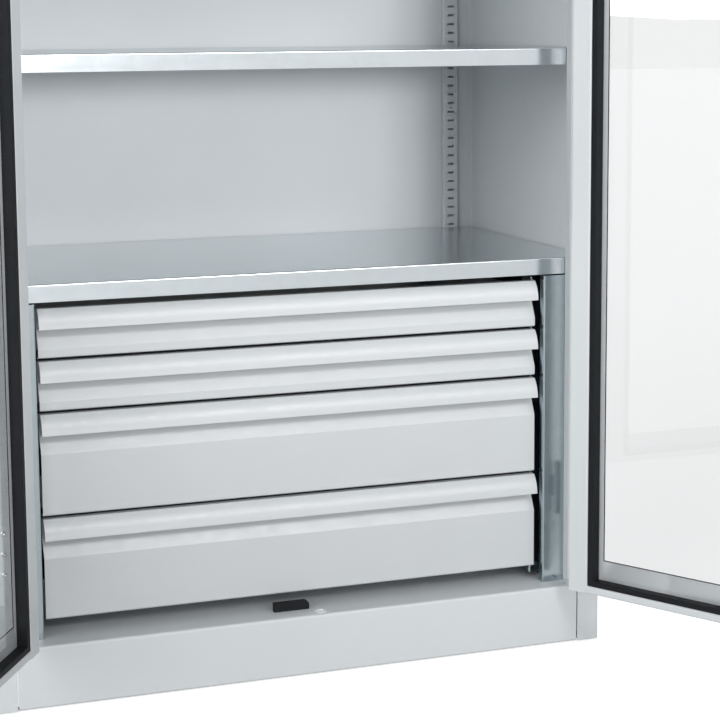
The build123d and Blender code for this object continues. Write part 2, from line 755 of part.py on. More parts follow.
def active_door_shell():
    """The right door's shell, with holes for the locking rods and the handle's spindle."""
    shell = door_shell()
    rod_hole = ROD_RADIUS + ROD_HOLE_PLAY
    shell -= upright(ROD_X, ROD_Y, DOOR_BOTTOM - SHEET, DOOR_BOTTOM + 2 * SHEET, rod_hole)
    shell -= upright(ROD_X, ROD_Y, DOOR_TOP - 2 * SHEET, DOOR_TOP + SHEET, rod_hole)
    spindle_hole = SPINDLE_RADIUS + ROD_HOLE_PLAY
    shell -= across(ROD_X, HANDLE_HEIGHT, DOOR_SETBACK - SHEET, DOOR_SKIN + SHEET, spindle_hole)
    for z in handle_screw_heights():
        shell -= across(ROD_X, z, DOOR_SETBACK - SHEET, DOOR_SKIN + SHEET, HANDLE_SCREW_SHANK + SEAM)
    return shell


def window_pane():
    edge = DOOR_BOX + PANE_GAP
    end = DOOR_RAIL + PANE_GAP
    return block(
        DOOR_INNER_X + edge, DOOR_OUTER_X - edge, DOOR_SKIN, PANE_BACK, DOOR_BOTTOM + end, DOOR_TOP - end
    )


def window_profile():
    """The plastic frame that clamps the pane, from the pane to just inside the door's back."""
    edge = DOOR_BOX + SEAM
    end = DOOR_RAIL + SEAM
    left = DOOR_INNER_X + edge
    right = DOOR_OUTER_X - edge
    bottom = DOOR_BOTTOM + end
    top = DOOR_TOP - end
    back = DOOR_BACK - PROFILE_RECESS
    ring = block(left, right, PANE_BACK, back, bottom, top)
    ring -= block(
        left + PROFILE_WIDTH,
        right - PROFILE_WIDTH,
        PANE_BACK - SEAM,
        back + SEAM,
        bottom + PROFILE_HEIGHT,
        top - PROFILE_HEIGHT,
    )
    rim = ring.faces().sort_by(Axis.Y)[-1]
    return chamfer(rim.inner_wires().edges(), PROFILE_EDGE)


def overlap_strip():
    """The joggled strip on the left door, which lies behind the right door's free edge."""
    front = DOOR_BACK
    step = DOOR_BACK + STRIP_JOGGLE
    section = (
        (-DOOR_INNER_X - STRIP_BACKING, front),
        (-DOOR_INNER_X - STRIP_JOGGLE, front),
        (DOOR_INNER_X, step),
        (DOOR_INNER_X + STRIP_REACH, step),
    )
    bottom = DOOR_BOTTOM + STRIP_END_GAP
    top = DOOR_TOP - STRIP_END_GAP
    return upright_sheet(section, bottom, top, LEFT, STRIP_SHEET, STRIP_SHEET)


def opened(shape):
    """A piece of the right door, swung from shut to open."""
    return shape.rotate(RIGHT_HINGE, DOOR_ANGLE)


def opened_left(shape):
    """A piece of the left door, swung from shut to open."""
    return mirrored(opened(mirrored(shape)))


# Hinges

def hinge_heights():
    first = DOOR_BOTTOM + HINGE_END
    step = (DOOR_TOP - DOOR_BOTTOM - 2 * HINGE_END) / (HINGES - 1)
    return [first + number * step for number in range(HINGES)]


def hinge_bore(z):
    half = HINGE_LENGTH / 2 + SEAM
    return upright(HINGE_X, HINGE_Y, z - half, z + half, PIN_RADIUS + PIN_PLAY)


def body_leaf(z):
    """The leaf on the frame, with the upper and lower knuckles."""
    half = HINGE_LENGTH / 2
    inner = HINGE_KNUCKLE / 2 + SEAM
    start = HINGE_X + HINGE_RADIUS + SEAM
    leaf = block(start, start + HINGE_BODY_LEAF, -HINGE_LEAF, 0, z - half, z + half)
    for z0, z1 in ((z - half, z - inner), (z + inner, z + half)):
        web = block(HINGE_X, start + HINGE_LEAF, -HINGE_LEAF, 0, z0, z1)
        leaf += upright(HINGE_X, HINGE_Y, z0, z1, HINGE_RADIUS) + web
    return leaf - hinge_bore(z)


def door_leaf(z):
    """The leaf on the door's face, with the middle knuckle and the web that carries it."""
    half = HINGE_LENGTH / 2
    inner = HINGE_KNUCKLE / 2
    web_start = HINGE_X - HINGE_RADIUS
    web_end = web_start + HINGE_LEAF
    front = DOOR_SETBACK - HINGE_LEAF
    leaf = block(web_end - HINGE_DOOR_LEAF, web_end, front, DOOR_SETBACK, z - half, z + half)
    leaf += block(web_start, web_end, HINGE_Y, DOOR_SETBACK, z - inner, z + inner)
    leaf += upright(HINGE_X, HINGE_Y, z - inner, z + inner, HINGE_RADIUS)
    return leaf - hinge_bore(z)


def hinge_pin(z):
    half = HINGE_LENGTH / 2
    pin = upright(HINGE_X, HINGE_Y, z - half, z + half, PIN_RADIUS)
    for z0 in (z - half - PIN_CAP, z + half):
        cap = upright(HINGE_X, HINGE_Y, z0, z0 + PIN_CAP, PIN_CAP_RADIUS)
        pin += chamfer(cap.edges().group_by(Axis.Z)[-1 if z0 > z else 0], PIN_CAP / 3)
    return pin


# Stops and locking

def door_stop(z0, z1, free_end):
    """A plastic block behind the meeting edges. free_end is 0 where it hangs down, -1 where it stands."""
    left = STOP_OFFSET - STOP_WIDTH / 2
    stop = block(left, left + STOP_WIDTH, POST_FACE, POST_FACE + STOP_DEPTH, z0, z1)
    corner = stop.edges().filter_by(Axis.Y).group_by(Axis.Z)[free_end].sort_by(Axis.X)[-1]
    stop = fillet(corner, STOP_CORNER)
    rim = stop.faces().sort_by(Axis.Y)[0].outer_wire().edges()
    return chamfer(rim, STOP_EDGE)


def rod_socket(face, inwards):
    """A plastic cup in a rod hole. inwards is the direction, up or down, in which the rod enters."""
    flange = SOCKET_RADIUS + SOCKET_FLANGE
    low, high = sorted((face, face - inwards * SOCKET_RIM))
    cup = upright(ROD_X, ROD_Y, low, high, flange)
    low, high = sorted((face, face + inwards * SOCKET_DEPTH))
    cup += upright(ROD_X, ROD_Y, low, high, SOCKET_RADIUS - SOCKET_PLAY)
    bore = SOCKET_RADIUS - SOCKET_PLAY - SOCKET_WALL
    mouth = face - inwards * (SOCKET_RIM + OVERCUT)
    low, high = sorted((mouth, face + inwards * (SOCKET_DEPTH - SOCKET_WALL)))
    return cup - upright(ROD_X, ROD_Y, low, high, bore)


def handle_screw_heights():
    reach = HANDLE_PLATE_LENGTH / 2 - HANDLE_SCREW_INSET
    return (HANDLE_HEIGHT - reach, HANDLE_HEIGHT + reach)


def handle_plate():
    """The plate under the lever, bored for its spindle."""
    half_width = HANDLE_PLATE_WIDTH / 2
    half_length = HANDLE_PLATE_LENGTH / 2
    front = DOOR_SETBACK - HANDLE_PLATE
    plate = block(
        ROD_X - half_width,
        ROD_X + half_width,
        front,
        DOOR_SETBACK,
        HANDLE_HEIGHT - half_length,
        HANDLE_HEIGHT + half_length,
    )
    plate = fillet(plate.edges().filter_by(Axis.Y), half_width - SEAM)
    plate = fillet(plate.faces().sort_by(Axis.Y)[0].edges(), HANDLE_PLATE / 4)
    start = front - OVERCUT
    end = DOOR_SETBACK + OVERCUT
    plate -= across(ROD_X, HANDLE_HEIGHT, start, end, SPINDLE_RADIUS + SPINDLE_PLAY)
    for z in handle_screw_heights():
        plate -= across(ROD_X, z, start, end, HANDLE_SCREW_SHANK + SEAM)
    return plate


def handle_screw(z):
    front = DOOR_SETBACK - HANDLE_PLATE
    head = across(ROD_X, z, front - HANDLE_SCREW_HEAD, front, HANDLE_SCREW_RADIUS)
    head = fillet(head.edges().group_by(Axis.Y)[0], HANDLE_SCREW_HEAD / 2)
    return head + across(ROD_X, z, front - HANDLE_SCREW_HEAD / 2, CAM_FRONT, HANDLE_SCREW_SHANK)


def handle_lever():
    """The lever with its boss and spindle, pointing at the hinges, and bored for the lock's plug."""
    plate_front = DOOR_SETBACK - HANDLE_PLATE
    boss_back = plate_front - SEAM
    boss_front = boss_back - BOSS_LENGTH
    lever = across(ROD_X, HANDLE_HEIGHT, boss_front, boss_back, BOSS_RADIUS)
    end = ROD_X + LEVER_LENGTH
    with BuildSketch(Plane.XZ.offset(-boss_front - LEVER_THICKNESS)) as outline:
        with BuildLine():
            Polyline(
                (ROD_X, HANDLE_HEIGHT - LEVER_WIDTH / 2),
                (end, HANDLE_HEIGHT - LEVER_TIP_WIDTH / 2),
                (end, HANDLE_HEIGHT + LEVER_TIP_WIDTH / 2),
                (ROD_X, HANDLE_HEIGHT + LEVER_WIDTH / 2),
                close=True,
            )
        make_face()
    arm = extrude(outline.sketch, LEVER_THICKNESS)
    tip = arm.edges().filter_by(Axis.Y).group_by(Axis.X)[-1]
    arm = fillet(tip, LEVER_TIP_WIDTH / 2 - SEAM)
    lever += arm
    lever = fillet(lever.faces().sort_by(Axis.Y)[0].outer_wire().edges(), LEVER_EDGE)
    lever += across(ROD_X, HANDLE_HEIGHT, boss_back - OVERCUT, CAM_FRONT, SPINDLE_RADIUS)
    return lever - across(
        ROD_X, HANDLE_HEIGHT, boss_front - OVERCUT, boss_front + PLUG_LENGTH, PLUG_RADIUS + PLUG_PLAY
    )


def lock_cylinder():
    """The lock's plug with its key slot."""
    front = DOOR_SETBACK - HANDLE_PLATE - SEAM - BOSS_LENGTH
    back = front + PLUG_LENGTH - SEAM
    plug = across(ROD_X, HANDLE_HEIGHT, front - PLUG_STANDOUT, back, PLUG_RADIUS)
    plug = chamfer(plug.edges().group_by(Axis.Y)[0], PLUG_STANDOUT / 2)
    slot_bottom = front - PLUG_STANDOUT + KEY_SLOT_DEPTH
    return plug - block(
        ROD_X - KEY_SLOT_WIDTH / 2,
        ROD_X + KEY_SLOT_WIDTH / 2,
        front - 2 * PLUG_STANDOUT,
        slot_bottom,
        HANDLE_HEIGHT - KEY_SLOT_LENGTH / 2,
        HANDLE_HEIGHT + KEY_SLOT_LENGTH / 2,
    )


def rod_cam():
    """The disc on the spindle's end with a crank pin for each rod."""
    cam = across(ROD_X, HANDLE_HEIGHT, CAM_FRONT, CAM_BACK, CAM_RADIUS)
    reach = CRANK / math.sqrt(2)
    pin_end = YOKE_FRONT + YOKE_THICKNESS
    for side in (-1, 1):
        cam += across(
            ROD_X + side * reach, HANDLE_HEIGHT + side * reach, CAM_BACK - OVERCUT, pin_end, CAM_PIN_RADIUS
        )
    return cam


def lower_rod():
    """The rod that drops into the floor, with the slotted yoke that its crank pin drives."""
    reach = CRANK / math.sqrt(2)
    yoke_outer = CRANK + CAM_PIN_RADIUS + CAM_PIN_PLAY + YOKE_WALL
    pin_z = HANDLE_HEIGHT + reach
    slot_half = CAM_PIN_RADIUS + CAM_PIN_PLAY
    yoke_back = YOKE_FRONT + YOKE_THICKNESS
    yoke_bottom = HANDLE_HEIGHT - YOKE_TOP - YOKE_HEAD
    yoke = block(
        ROD_X + YOKE_INNER,
        ROD_X + yoke_outer,
        YOKE_FRONT,
        yoke_back,
        yoke_bottom,
        pin_z + slot_half + YOKE_WALL,
    )
    yoke -= block(
        ROD_X + reach - slot_half,
        ROD_X + CRANK + slot_half,
        YOKE_FRONT - OVERCUT,
        yoke_back + OVERCUT,
        pin_z - slot_half,
        pin_z + slot_half,
    )
    yoke += block(
        ROD_X - ROD_RADIUS,
        ROD_X + yoke_outer,
        YOKE_FRONT,
        yoke_back,
        yoke_bottom,
        HANDLE_HEIGHT - YOKE_TOP,
    )
    rod = upright(ROD_X, ROD_Y, DOOR_BOTTOM + ROD_END_GAP, HANDLE_HEIGHT - YOKE_TOP, ROD_RADIUS)
    rod = chamfer(rod.edges().group_by(Axis.Z)[0], ROD_RADIUS / 3)
    return yoke + rod


def upper_rod():
    """The rod that rises into the head: its yoke is the lower one's, turned half round."""
    turned = lower_rod().rotate(Axis((ROD_X, ROD_Y, HANDLE_HEIGHT), (0, 1, 0)), 180)
    spare = 2 * HANDLE_HEIGHT - DOOR_BOTTOM - ROD_END_GAP
    start = HANDLE_HEIGHT + YOKE_TOP + YOKE_HEAD + OVERCUT
    turned -= block(0, 2 * ROD_X, DOOR_SKIN, DOOR_BACK, start, spare + OVERCUT)
    rod = upright(ROD_X, ROD_Y, start - OVERCUT, DOOR_TOP - ROD_END_GAP, ROD_RADIUS)
    rod = chamfer(rod.edges().group_by(Axis.Z)[-1], ROD_RADIUS / 3)
    return turned + rod


def rod_guides():
    """Plastic blocks in the door's column that the rods run through."""
    back = DOOR_BACK - SHEET
    low = DOOR_BOTTOM + GUIDE_END_GAP
    high = DOOR_TOP - GUIDE_END_GAP - GUIDE_HEIGHT
    below = (low + HANDLE_HEIGHT) / 2
    above = (high + HANDLE_HEIGHT) / 2
    guides = []
    for z in (low, below, above, high):
        half = GUIDE_WIDTH / 2
        top = z + GUIDE_HEIGHT
        guide = block(ROD_X - half, ROD_X + half, DOOR_SKIN, back, z, top)
        guides.append(guide - upright(ROD_X, ROD_Y, z - OVERCUT, top + OVERCUT, ROD_RADIUS + ROD_PLAY))
    return guides


def write_body():
    save_pair("side_panel", side_panel())
    save("back_panel", back_panel())
    save("top_panel", top_panel())
    save("floor_panel", floor_panel())
    save("glider_feet", *gliders())
    save_pair("rear_rail", rear_rail())
    save_pair("front_rail", front_rail())
    save("door_stop_floor", door_stop(FLOOR_HEIGHT, FLOOR_HEIGHT + STOP_HEIGHT, -1))
    save("door_stop_head", door_stop(OPENING_TOP - STOP_HEIGHT, OPENING_TOP + STOP_GRIP, 0))
    save("rod_socket_floor", rod_socket(FLOOR_HEIGHT, -1))
    save("rod_socket_head", rod_socket(OPENING_TOP, 1))


def write_shelves():
    for number, slot in enumerate(SHELF_SLOTS, start=1):
        save(f"shelf_{number}", shelf(slot * SLOT_PITCH + SHELF_ABOVE_SLOT))
    save("shelf_clips", *clips())


def write_drawer_unit():
    save_pair("drawer_unit_side", unit_side())
    save("runner_brackets", *runner_brackets())
    outers = []
    for number, (bottom, height, box_height) in enumerate(drawers(), start=1):
        box_bottom = bottom + DRAWER_RISE
        runner_z = box_bottom + RUNNER_RISE
        outers += both_sides(runner_outer(runner_z))
        save(f"runner_mid_{number}", *both_sides(runner_mid(runner_z)))
        save(f"runner_inner_{number}", *both_sides(runner_inner(runner_z)))
        save(f"drawer_box_{number}", drawer_box(box_bottom, box_height))
        save(f"drawer_front_{number}", drawer_front(bottom, height))
    save("runner_outers", *outers)


def write_doors():
    save("door_shell_right", opened(active_door_shell()))
    save("door_shell_left", mirrored(opened(door_shell())))
    save_pair("window_pane", opened(window_pane()))
    save_pair("window_profile", opened(window_profile()))
    save("door_overlap_strip", opened_left(overlap_strip()))
    heights = hinge_heights()
    leaves = [body_leaf(z) for z in heights]
    pins = [hinge_pin(z) for z in heights]
    save("hinge_body_leaves", *leaves, *[mirrored(leaf) for leaf in leaves])
    save("hinge_pins", *pins, *[mirrored(pin) for pin in pins])
    door_leaves = [opened(door_leaf(z)) for z in heights]
    save("hinge_door_leaves_right", *door_leaves)
    save("hinge_door_leaves_left", *[mirrored(leaf) for leaf in door_leaves])


def write_locking():
    save("handle_plate", opened(handle_plate()))
    save("handle_screws", *[opened(handle_screw(z)) for z in handle_screw_heights()])
    save("handle_lever", opened(handle_lever()))
    save("lock_cylinder", opened(lock_cylinder()))
    save("rod_cam", opened(rod_cam()))
    save("lock_rod_upper", opened(upper_rod()))
    save("lock_rod_lower", opened(lower_rod()))
    save("rod_guides", *[opened(guide) for guide in rod_guides()])


os.makedirs("parts", exist_ok=True)
write_body()
write_shelves()
write_drawer_unit()
write_doors()
write_locking()
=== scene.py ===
"""Finishes, small fasteners and a plain studio for a grey steel cabinet with glazed doors."""

import json
import math

import bmesh
import bpy
from mathutils import Matrix, Vector


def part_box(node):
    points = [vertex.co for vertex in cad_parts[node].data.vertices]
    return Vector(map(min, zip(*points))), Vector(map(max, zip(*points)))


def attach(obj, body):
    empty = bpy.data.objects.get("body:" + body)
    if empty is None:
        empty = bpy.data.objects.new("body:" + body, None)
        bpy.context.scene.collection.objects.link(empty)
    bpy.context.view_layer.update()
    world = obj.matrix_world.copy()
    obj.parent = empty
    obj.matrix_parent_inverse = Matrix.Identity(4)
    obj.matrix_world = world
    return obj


bl_info = {
    "name": "Glazed Steel Cabinet",
    "version": (1, 0, 0),
    "blender": (4, 5, 0),
    "location": "3D View > Sidebar > Cabinet",
    "description": "Paint, zinc, plastic and glass finishes, fasteners and a studio for a steel cabinet",
    "category": "Object",
}

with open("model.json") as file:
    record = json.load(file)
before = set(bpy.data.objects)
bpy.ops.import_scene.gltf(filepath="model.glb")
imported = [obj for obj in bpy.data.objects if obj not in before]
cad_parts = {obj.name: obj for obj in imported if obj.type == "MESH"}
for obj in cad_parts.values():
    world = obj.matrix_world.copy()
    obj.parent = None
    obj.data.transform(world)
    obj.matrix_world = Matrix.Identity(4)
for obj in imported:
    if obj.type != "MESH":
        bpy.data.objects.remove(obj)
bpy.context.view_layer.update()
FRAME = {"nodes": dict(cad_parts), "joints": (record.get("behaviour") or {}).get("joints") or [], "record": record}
NODES = FRAME["nodes"]

MILLIMETRE = 0.001
WHITE = (1, 1, 1)

# The frame's front, the right door's hinge pin, and how far both doors stand open at rest

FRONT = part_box("side_panel_right")[0].y
HINGE_PIN = next(joint["pos_m"] for joint in FRAME["joints"] if joint["name"] == "right_door_hinge")
DOOR_TURN = math.radians(120)

# The doors' sides along X, and the words for them in names

DOORS = ((1, "right"), (-1, "left"))

# Sealing bead: its gap to the pane, and how far it grips the cut edge of the door's sheet

BEAD_PLAY = 0.05 * MILLIMETRE
BEAD_GRIP = 0.1 * MILLIMETRE

# Hinge screws: the faces of the leaves with the doors shut, and the screws' places on a leaf

BODY_LEAF_FACE = FRONT - 2 * MILLIMETRE
DOOR_LEAF_FACE = FRONT + 4 * MILLIMETRE
SCREW_FROM_LEAF_EDGE = 7.5 * MILLIMETRE
SCREW_FROM_PIN = 16.5 * MILLIMETRE
SCREW_STEPS = (-29 * MILLIMETRE, 0, 29 * MILLIMETRE)

# Corners of leaves whose heights differ by more than this are on different hinges

HINGES_APART = 100 * MILLIMETRE

# Drawer rivets: the tray's sheet, and the rivets' places as shares of the tray's depth

DRAWER_NUMBERS = range(1, 5)
TRAY_SHEET = 1 * MILLIMETRE
RIVET_PLACES = (0.08, 0.36, 0.64, 0.92)

# Half sections of heads that are 1 across and 1 high: radius and height, from the rim to the middle

SCREW_PROFILE = (
    (0.5, -0.1), (0.5, 0.35), (0.44, 0.8), (0.3, 1.0), (0.24, 1.0), (0.2, 0.97), (0.19, 0.15),
)
SCREW_SOCKET_RING = 5
SCREW_SEGMENTS = 24
RIVET_PROFILE = (
    (0.5, -0.1), (0.5, 0.2), (0.45, 0.55), (0.33, 0.84), (0.18, 0.97), (0.16, 0.88), (0.05, 0.86),
)
RIVET_SEGMENTS = 18
FASTENER_TREE = "Fasteners on points"
FASTENER_SEED = 7

# Camera and beam, with turns in degrees

CAMERA_PLACE = (-0.8218, -2.7879, 0.9507)
CAMERA_YAW = 19.541
CAMERA_PITCH = 7.605
CAMERA_ROLL = -0.413
CAMERA_SHIFT = -0.12
BEAM_PLACE = (0.75, -3.2, 1.13)
BEAM_TARGET = (0.02, 0.2, 1.04)
BEAM_ANGLE = 42
BEAM_LAMP_RADIUS = 0.3

# How far the floor lies under the cabinet's gliders

FLOOR_GAP = 0.2 * MILLIMETRE

# Along Y, where the sky has its front strength and where it reaches its strength behind

SKY_DIRECTIONS = (-1.0, 0.6)

# Colour sockets of a Mix node by number, because its number and vector sockets have the same names

MIX_FIRST, MIX_SECOND, MIX_RESULT = 6, 7, 2


# Sizes and colours that a user may change

def colour_property(name, description, default):
    """A colour, with red, green and blue between 0 and 1."""
    return bpy.props.FloatVectorProperty(
        name=name, description=description, default=default, size=3, subtype="COLOR", min=0.0, max=1.0
    )


def length_property(name, description, default):
    """A length in metres."""
    return bpy.props.FloatProperty(
        name=name, description=description, default=default, min=0.0, unit="LENGTH", precision=5
    )


def strength_property(name, description, default, **others):
    """A number that isn't negative. others are settings that only some of them have."""
    return bpy.props.FloatProperty(
        name=name, description=description, default=default, min=0.0, **others
    )


class CabinetFinishes(bpy.types.PropertyGroup):
    """Colours and surface sizes of the finishes."""

    # The body and the drawers share one real powder coat: the body's copy is lighter, as painted light for the
    # inside, and the drawers' copy is darker, as painted shade
    body_paint: colour_property(
        "Body paint", "Powder coat of the body and the doors", (0.63, 0.66, 0.675)
    )
    drawer_paint: colour_property("Drawer paint", "Powder coat of the drawers", (0.54, 0.562, 0.574))
    zinc: colour_property("Zinc", "Galvanised sheet of shelves and front rails", (0.64, 0.688, 0.712))
    # The drawer unit's zinc is bluish, and is set darker than the shelves' zinc as painted shade for the shaded
    # door that it mirrors
    post_zinc_with_shade: colour_property(
        "Post zinc", "Blued, shade-darkened galvanised sheet of the drawer unit", (0.41, 0.472, 0.5)
    )
    plating: colour_property("Plating", "Zinc plating of the runners and clips", (0.56, 0.575, 0.59))
    bright_steel: colour_property("Bright steel", "Pins, rods, cam and screws", (0.62, 0.63, 0.64))
    lock_chrome: colour_property("Lock chrome", "Plating of the lock cylinder", (0.78, 0.79, 0.8))
    black_plastic: colour_property(
        "Black plastic", "Window profiles, stops, gliders and handle", (0.014, 0.015, 0.017)
    )
    # White plastic; in the floor's rod socket its white is also painted light, standing in for light seen through
    # the hole
    white_plastic: colour_property("White plastic", "Rod sockets and guides", (0.9, 0.905, 0.91))
    pane: colour_property("Pane", "Clear panes of the doors", (0.88, 0.885, 0.885))
    peel_size: length_property("Orange peel", "Distance between the ripples of the powder coat", 0.0022)
    peel_depth: length_property("Peel depth", "Height of the ripples of the powder coat", 0.00002)
    spangle_size: length_property("Spangle", "Size of the crystals of the galvanised sheet", 0.012)
    edge_radius: length_property("Edge radius", "Rounding of edges, except on galvanised sheet", 0.0007)
    zinc_edge_radius: length_property("Zinc edge radius", "Rounding of galvanised edges", 0.0002)


class CabinetFasteners(bpy.types.PropertyGroup):
    """Sizes of the screws, rivets and sealing beads."""

    screw_diameter: length_property("Screw head", "Diameter of the hinge screws' heads", 0.0074)
    screw_height: length_property("Screw height", "Height of the hinge screws' heads", 0.0012)
    rivet_diameter: length_property("Rivet head", "Diameter of the rivet heads", 0.0062)
    rivet_height: length_property("Rivet height", "Height of the rivet heads", 0.0011)
    bead_width: length_property("Bead width", "Width of the sealing bead in the door's opening", 0.0018)
    bead_depth: length_property("Bead depth", "Depth of the sealing bead before the pane", 0.0009)
    bead_from_side: length_property("Bead inset", "From the pane's upright edge to the bead", 0.0162)
    bead_from_end: length_property("Bead end inset", "From the pane's level edge to the bead", 0.0362)


class CabinetStudio(bpy.types.PropertyGroup):
    """Light and ground round the cabinet."""

    floor_colour: colour_property("Floor", "Colour of the floor", (0.55, 0.555, 0.56))
    floor_reach: length_property("Floor reach", "Half of the floor's side", 30.0)
    floor_glow: strength_property("Floor glow", "How much whiter the camera sees the floor", 0.8)
    floor_mirrored: strength_property(
        "Mirrored floor", "Share of the floor's glow that metal shows", 0.5, max=1.0
    )
    floor_through: strength_property(
        "Floor through panes", "Share of the floor's glow that shows through the panes", 0.71, max=1.0
    )
    sky_front: strength_property("Sky in front", "Strength of the even light from the front", 0.03)
    sky_back: strength_property("Sky behind", "Strength of the even light from behind", 0.45)
    front_light: strength_property("Front light", "Strength of the low light from the front", 0.7)
    beam_power: strength_property(
        "Beam", "Power of the soft beam that lights the open compartments", 165.0, unit="POWER"
    )
    side_light: strength_property("Side light", "Strength of the soft light from the left", 2.0)
    key_light: strength_property("Key light", "Strength of the light from above the front right", 0.75)
    rear_light: strength_property("Rear light", "Strength of the soft light from behind the right", 1.1)
    lens: bpy.props.FloatProperty(name="Lens", description="Focal length", default=94.43, unit="CAMERA")


# Materials

def new_material(name, colour, roughness, metallic=0.0):
    """A material with one Principled shader, and that shader."""
    material = bpy.data.materials.new(name)
    material.use_nodes = True
    shader = material.node_tree.nodes["Principled BSDF"]
    shader.inputs["Base Color"].default_value = (*colour, 1)
    shader.inputs["Roughness"].default_value = roughness
    shader.inputs["Metallic"].default_value = metallic
    material.diffuse_color = (*colour, 1)
    return material, shader


def add_node(material, kind, **settings):
    """A new node in a material, with its settings."""
    node = material.node_tree.nodes.new(kind)
    for key, value in settings.items():
        setattr(node, key, value)
    return node


def join(material, source, target):
    """Links an output to an input."""
    material.node_tree.links.new(source, target)


def object_space(material, stretch=(1, 1, 1)):
    """Object coordinates, squeezed along the axes where stretch is above 1."""
    place = add_node(material, "ShaderNodeTexCoord")
    mapping = add_node(material, "ShaderNodeMapping")
    mapping.inputs["Scale"].default_value = stretch
    join(material, place.outputs["Object"], mapping.inputs["Vector"])
    return mapping.outputs["Vector"]


def noise(material, space, scale, detail):
    """A cloudy grey between 0 and 1."""
    texture = add_node(material, "ShaderNodeTexNoise")
    texture.inputs["Scale"].default_value = scale
    texture.inputs["Detail"].default_value = detail
    join(material, space, texture.inputs["Vector"])
    return texture.outputs["Fac"]


def crystals(material, space, size):
    """A random grey for each cell of a broken pattern."""
    texture = add_node(material, "ShaderNodeTexVoronoi")
    texture.inputs["Scale"].default_value = 1.0 / size
    join(material, space, texture.inputs["Vector"])
    split = add_node(material, "ShaderNodeSeparateColor")
    join(material, texture.outputs["Color"], split.inputs["Color"])
    return split.outputs["Red"]


def spread(material, value, low, high, start=0.0, end=1.0):
    """A value between start and end, spread from low to high."""
    node = add_node(material, "ShaderNodeMapRange")
    node.inputs["From Min"].default_value = start
    node.inputs["From Max"].default_value = end
    node.inputs["To Min"].default_value = low
    node.inputs["To Max"].default_value = high
    join(material, value, node.inputs["Value"])
    return node.outputs["Result"]


def spread_noise(material, value, low=0.0, high=1.0):
    """The middle range of a noise, spread from low to high."""
    return spread(material, value, low, high, start=0.3, end=0.7)


def tones(material, share, first, second):
    """The colour between two tones, of which the first may be a linked one."""
    node = add_node(material, "ShaderNodeMix", data_type="RGBA")
    if isinstance(first, bpy.types.NodeSocket):
        join(material, first, node.inputs[MIX_FIRST])
    else:
        node.inputs[MIX_FIRST].default_value = (*first, 1)
    node.inputs[MIX_SECOND].default_value = (*second, 1)
    join(material, share, node.inputs["Factor"])
    return node.outputs[MIX_RESULT]


def shade(colour, factor):
    """A lighter or darker shade of a colour."""
    return tuple(min(1.0, part * factor) for part in colour)


def soft_edges(material, radius):
    """Normals that run round the edges, and how near an edge a point is."""
    bevel = add_node(material, "ShaderNodeBevel", samples=4)
    bevel.inputs["Radius"].default_value = radius
    flat = add_node(material, "ShaderNodeNewGeometry")
    product = add_node(material, "ShaderNodeVectorMath", operation="DOT_PRODUCT")
    join(material, bevel.outputs["Normal"], product.inputs[0])
    join(material, flat.outputs["Normal"], product.inputs[1])
    near = spread(material, product.outputs["Value"], low=1.0, high=0.0, start=0.7, end=0.99)
    return bevel.outputs["Normal"], near


def colour_sheet(material, shader, colour, patches, edge, shades, edge_highlight_share):
    """Base colour from patches of two shades, with a share of a lighter third shade along the edges, which is a
    painted highlight.
    """
    # The third shade is lighter: a painted highlight along the edges
    dark, light, edge_highlight = (shade(colour, factor) for factor in shades)
    share = spread(material, edge, low=0.0, high=edge_highlight_share)
    tint = tones(material, share, tones(material, patches, dark, light), edge_highlight)
    join(material, tint, shader.inputs["Base Color"])


def roughen(material, shader, height, distance, strength, normal):
    """Bump from a height between 0 and 1, over normals that are given."""
    bump = add_node(material, "ShaderNodeBump")
    bump.inputs["Strength"].default_value = strength
    bump.inputs["Distance"].default_value = distance
    join(material, height, bump.inputs["Height"])
    join(material, normal, bump.inputs["Normal"])
    join(material, bump.outputs["Normal"], shader.inputs["Normal"])


def powder_coat(name, colour, roughness, shine, finishes):
    """Satin powder coat with a fine orange peel, a little cloudiness and a painted highlight along the edges."""
    material, shader = new_material(name, colour, roughness)
    shader.inputs["Specular IOR Level"].default_value = shine
    space = object_space(material)
    clouds = noise(material, space, scale=5.0, detail=4.0)
    edge_normal, edge = soft_edges(material, finishes.edge_radius)
    patches = spread_noise(material, clouds)
    # The lighter last shade paints a highlight along the edges
    colour_sheet(material, shader, colour, patches, edge, shades=(0.985, 1.015, 1.12), edge_highlight_share=0.35)
    grain = noise(material, space, scale=90.0, detail=3.0)
    gloss = spread_noise(material, grain, roughness - 0.06, roughness + 0.06)
    join(material, gloss, shader.inputs["Roughness"])
    peel = noise(material, space, scale=1.0 / finishes.peel_size, detail=1.0)
    roughen(material, shader, peel, distance=finishes.peel_depth, strength=0.5, normal=edge_normal)
    return material


def galvanised(name, colour, finishes):
    """Smooth galvanised sheet: a flat spangle with faint rolling marks."""
    material, shader = new_material(name, colour, roughness=0.16, metallic=1.0)
    space = object_space(material)
    rolled = object_space(material, stretch=(0.04, 1.0, 1.0))
    spangle = crystals(material, space, finishes.spangle_size)
    marks = noise(material, rolled, scale=260.0, detail=3.0)
    edge_normal, edge = soft_edges(material, finishes.zinc_edge_radius)
    # The lighter last shade paints a highlight along the galvanised edges
    colour_sheet(material, shader, colour, spangle, edge, shades=(0.99, 1.01, 1.05), edge_highlight_share=0.4)
    both = add_node(material, "ShaderNodeMath", operation="MULTIPLY_ADD")
    spangle_share = both.inputs[1]
    spangle_share.default_value = 0.35
    join(material, spangle, both.inputs[0])
    join(material, marks, both.inputs[2])
    gloss = spread(material, both.outputs[0], low=0.14, high=0.19, start=0.2, end=1.1)
    join(material, gloss, shader.inputs["Roughness"])
    roughen(material, shader, marks, distance=0.000004, strength=0.2, normal=edge_normal)
    return material


